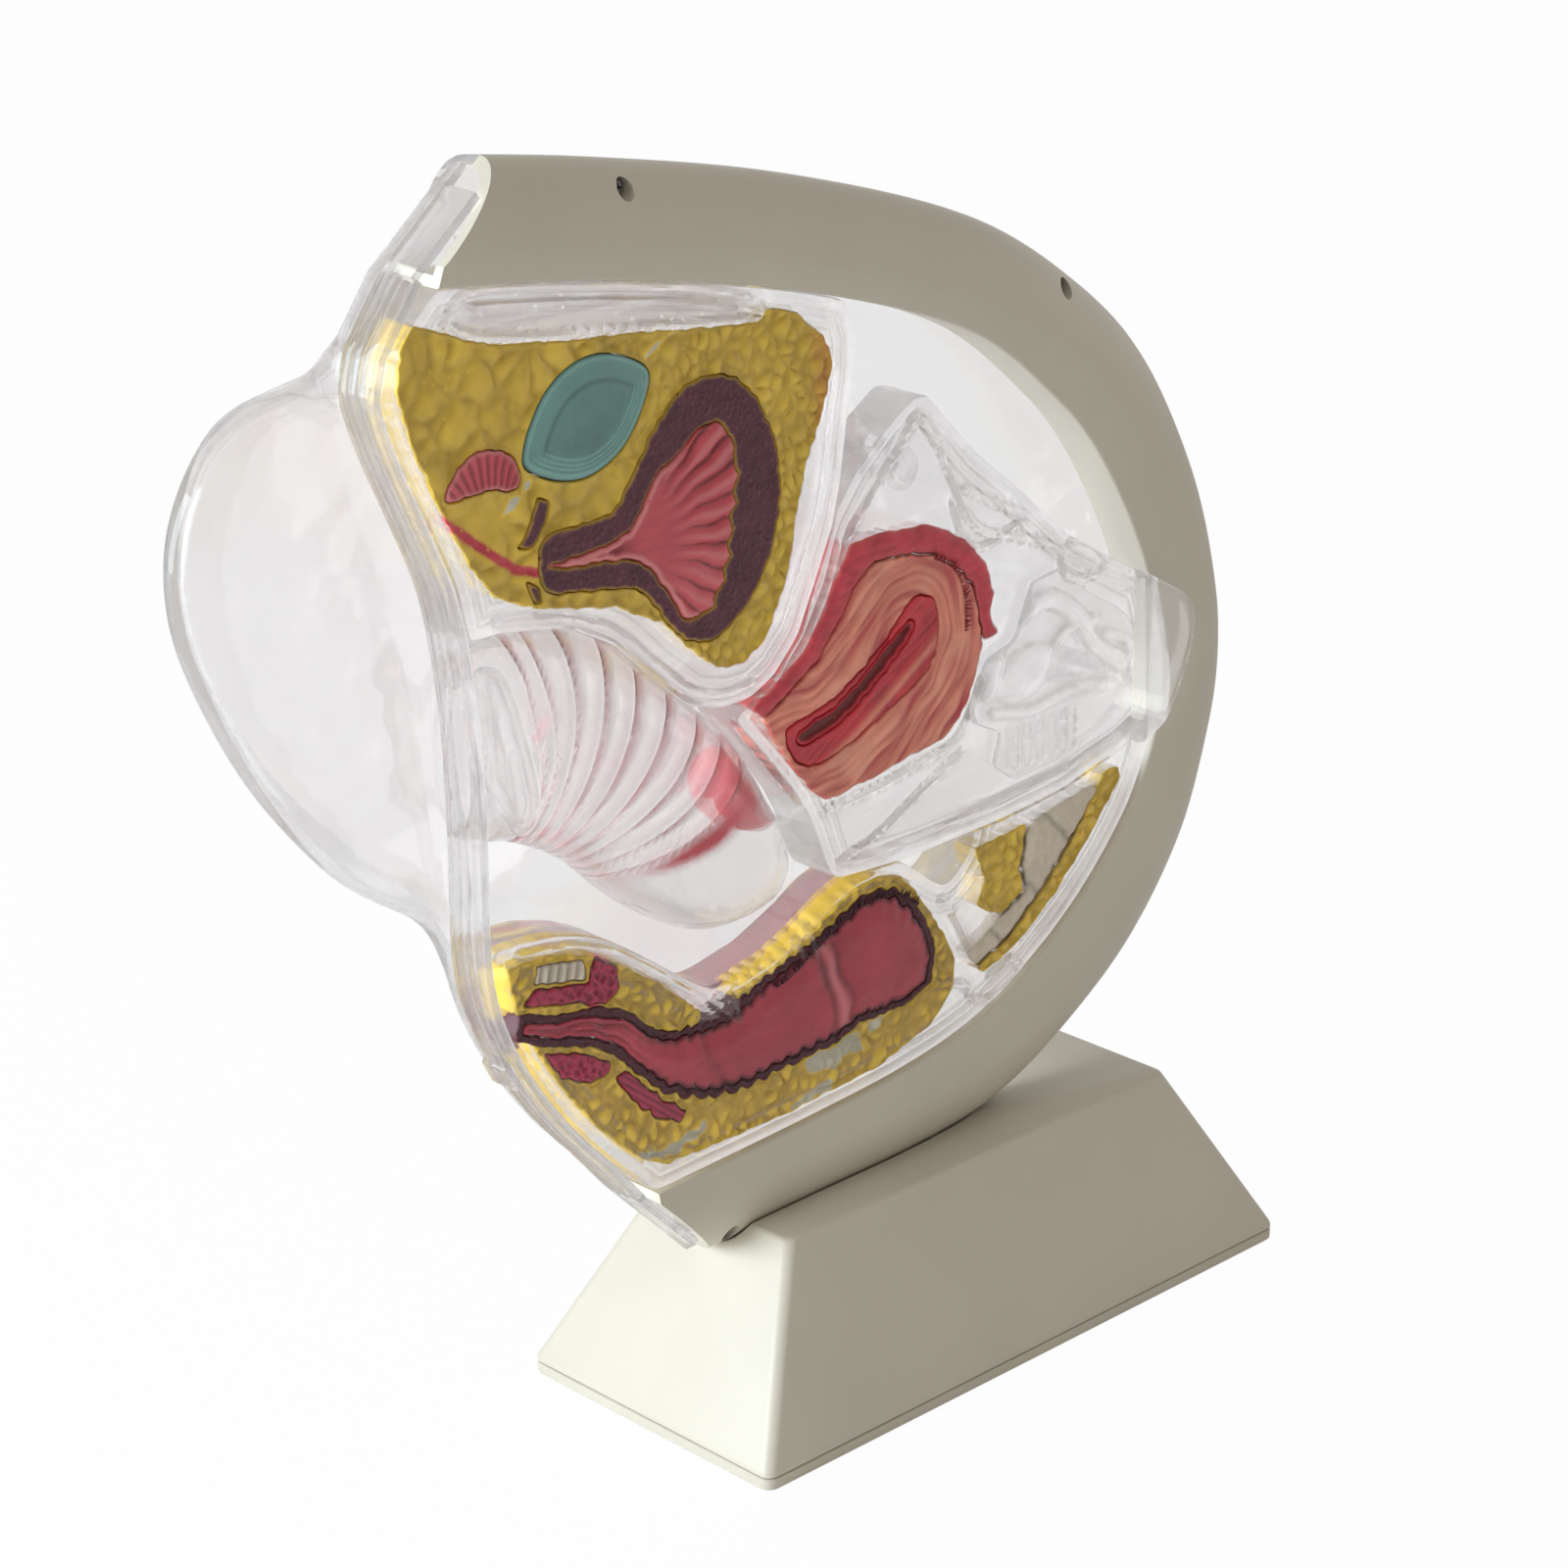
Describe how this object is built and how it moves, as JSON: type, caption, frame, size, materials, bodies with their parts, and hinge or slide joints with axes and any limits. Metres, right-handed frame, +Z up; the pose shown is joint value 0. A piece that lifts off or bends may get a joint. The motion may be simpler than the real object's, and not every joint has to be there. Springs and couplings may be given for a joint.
{
  "type": "uterus anatomy model",
  "caption": "Sagittal teaching model of a female pelvis in a C-shaped frame on a wedge stand, with clear shells, painted inlays and a uterus unit that slides out.",
  "frame": {"origin": "on the floor, at the centre of the stand plate's underside", "axes": "+X along the stand towards the closed side of the frame, -Y towards the viewer of the cut face, +Z up"},
  "size_m": [0.322, 0.085, 0.3237],
  "materials": {
    "off_white_plastic": "satin moulded",
    "clear_plastic": "clear, polished",
    "screw_steel": "plain",
    "fat_paint": "painted, glossy",
    "bone_paint": "painted",
    "cartilage_paint": "painted, glossy",
    "muscle_paint": "painted",
    "wall_paint": "painted, grained",
    "lining_paint": "painted, glossy",
    "flesh_paint": "painted, glossy"
  },
  "bodies": {
    "model": {"stand_housing": "off_white_plastic", "stand_plate": "off_white_plastic", "plate_screw_1": "screw_steel", "plate_screw_2": "screw_steel", "plate_screw_3": "screw_steel", "plate_screw_4": "screw_steel", "cradle_screw_1": "screw_steel", "cradle_screw_2": "screw_steel", "front_frame": "off_white_plastic", "rear_body_shell": "clear_plastic", "perineum_strip": "clear_plastic", "perineum_clip": "clear_plastic", "frame_screw_1": "screw_steel", "frame_screw_2": "screw_steel", "frame_screw_3": "screw_steel", "tray_screw_1": "screw_steel", "tray_screw_2": "screw_steel", "tray_screw_3": "screw_steel", "tray_screw_4": "screw_steel", "tray_screw_5": "screw_steel", "upper_tissue_tray": "clear_plastic", "lower_tissue_tray": "clear_plastic", "bladder_lining": "lining_paint", "bladder_wall": "wall_paint", "pubic_symphysis": "cartilage_paint", "clitoris": "flesh_paint", "urethral_sphincter_upper": "wall_paint", "urethral_sphincter_lower": "wall_paint", "upper_fat": "fat_paint", "rectum_lining": "lining_paint", "rectum_wall": "wall_paint", "anal_sphincter_upper": "muscle_paint", "anal_sphincter_lower": "muscle_paint", "perineal_body": "bone_paint", "levator_strip": "muscle_paint", "perineal_fat": "fat_paint", "lower_fat": "fat_paint", "sacrum": "bone_paint", "sacral_fat_front": "fat_paint", "sacral_fat_rear": "fat_paint", "vaginal_canal": "clear_plastic", "cervix": "flesh_paint", "labial_fold": "clear_plastic"},
    "uterus_unit": {"uterus_tray": "clear_plastic", "uterine_cavity": "muscle_paint", "uterus_lining": "lining_paint", "uterus_outer_layer": "muscle_paint", "uterus_muscle": "flesh_paint", "ovary_and_tube": "clear_plastic"}
  },
  "joints": [
    {"name": "uterus_slide", "type": "slide", "parent": "model", "child": "uterus_unit", "axis": [0, -1, 0], "range_m": [0, 0.035]}
  ]
}
